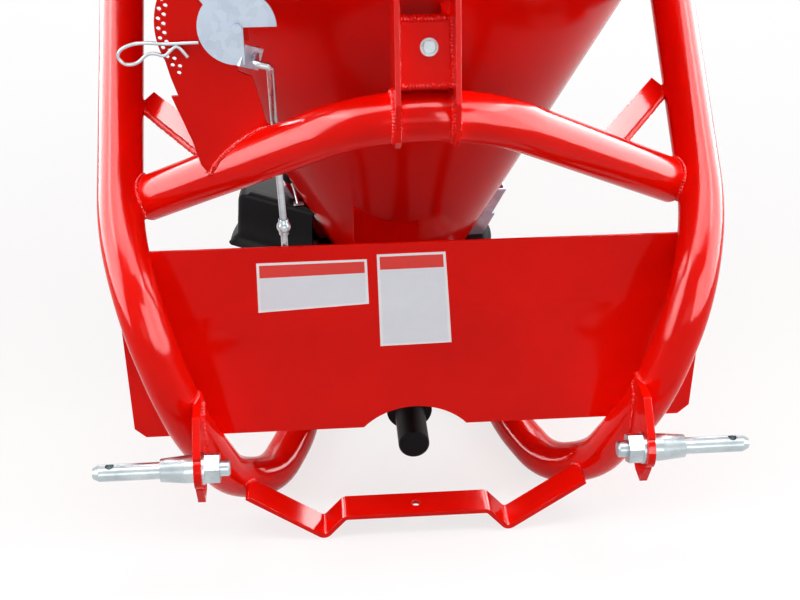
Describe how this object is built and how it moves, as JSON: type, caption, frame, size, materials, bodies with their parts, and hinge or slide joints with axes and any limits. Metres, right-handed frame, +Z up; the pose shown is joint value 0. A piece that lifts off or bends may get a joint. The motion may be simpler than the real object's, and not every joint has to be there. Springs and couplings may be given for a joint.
{
  "type": "three-point-hitch fertilizer spreader",
  "caption": "Disc fertilizer spreader for a tractor's three-point hitch: steel cone hopper on a bent tube frame with a front shield, spinner and rate lever.",
  "frame": {"origin": "on the ground under the hopper's and the spinner's axis, at the middle of the bottom of the whole box", "axes": "+Z up, +X to the right seen from the tractor, -Y towards the tractor; the lower pins lie along X"},
  "size_m": [1.0799, 1.08, 1.1919],
  "materials": {
    "red_paint": "glossy powder coat",
    "hopper_paint": "glossy powder coat, a little darker",
    "zinc": "bright zinc plate",
    "galvanised": "galvanised sheet",
    "stainless": "stainless sheet",
    "black_plastic": "moulded black plastic",
    "cast_iron": "painted grey casting",
    "bare_steel": "turned steel"
  },
  "bodies": {
    "frame": {"frame_tube_right": "red_paint", "frame_tube_left": "red_paint", "mast_lug_right": "red_paint", "mast_lug_left": "red_paint", "hitch_plate_right": "red_paint", "hitch_plate_left": "red_paint", "brace_right": "red_paint", "brace_left": "red_paint", "hopper_side_bracket_right": "red_paint", "hopper_side_bracket_left": "red_paint", "arch_tube": "red_paint", "front_shield": "red_paint", "bridge_bar": "red_paint", "rear_cross_tube": "red_paint", "mast_cross_plate": "red_paint", "hopper_front_bracket": "red_paint", "gearbox_plate": "red_paint", "rate_quadrant": "red_paint", "crank_bracket": "red_paint", "side_rib": "red_paint", "hopper_front_web": "red_paint", "hopper": "hopper_paint", "hitch_pin_right": "zinc", "hitch_pin_left": "zinc", "side_strap_right": "galvanised", "side_strap_left": "galvanised", "hopper_floor": "galvanised", "outlet_ring": "black_plastic", "side_hood": "black_plastic", "input_shaft_housing": "black_plastic", "gearbox": "cast_iron"},
    "spinner": {"spinner_disc": "stainless", "spinner_vanes": "stainless", "spinner_hub": "bare_steel", "spindle": "bare_steel", "agitator": "bare_steel"},
    "input": {"input_shaft": "bare_steel", "input_shaft_cap": "black_plastic"},
    "lever": {"rate_lever": "galvanised", "lever_grip": "black_plastic"},
    "rod": {"rate_rod": "zinc"},
    "crank": {"shutter_crank": "zinc"},
    "slide": {"shutter": "galvanised"}
  },
  "joints": [
    {"name": "spinner_turn", "type": "hinge", "parent": "frame", "child": "spinner", "pos_m": [0, 0, 0.184], "axis": [0, 0, 1], "continuous": true},
    {"name": "input_turn", "type": "hinge", "parent": "frame", "child": "input", "pos_m": [0, -0.2, 0.122], "axis": [0, 1, 0], "continuous": true},
    {"name": "rate_lever_swing", "type": "hinge", "parent": "frame", "child": "lever", "pos_m": [-0.213, -0.37, 0.7735], "axis": [0, -1, 0], "range_deg": [0, 40]},
    {"name": "rod_hook", "type": "hinge", "parent": "lever", "child": "rod", "pos_m": [-0.194, -0.373, 0.7325], "axis": [0, -1, 0], "range_deg": [-40, 0]},
    {"name": "crank_swing", "type": "hinge", "parent": "frame", "child": "crank", "pos_m": [-0.191, -0.3195, 0.331], "axis": [0, -1, 0], "range_deg": [0, 40]},
    {"name": "shutter_slide", "type": "slide", "parent": "frame", "child": "slide", "axis": [1, 0, 0], "range_m": [0, 0.0513]}
  ],
  "couplings": [
    {"joint": "input_turn", "follows": "spinner_turn", "ratio": 1},
    {"joint": "rod_hook", "follows": "rate_lever_swing", "ratio": -1},
    {"joint": "crank_swing", "follows": "rate_lever_swing", "ratio": 1},
    {"joint": "shutter_slide", "follows": "rate_lever_swing", "m_per_rad": 0.07343}
  ]
}
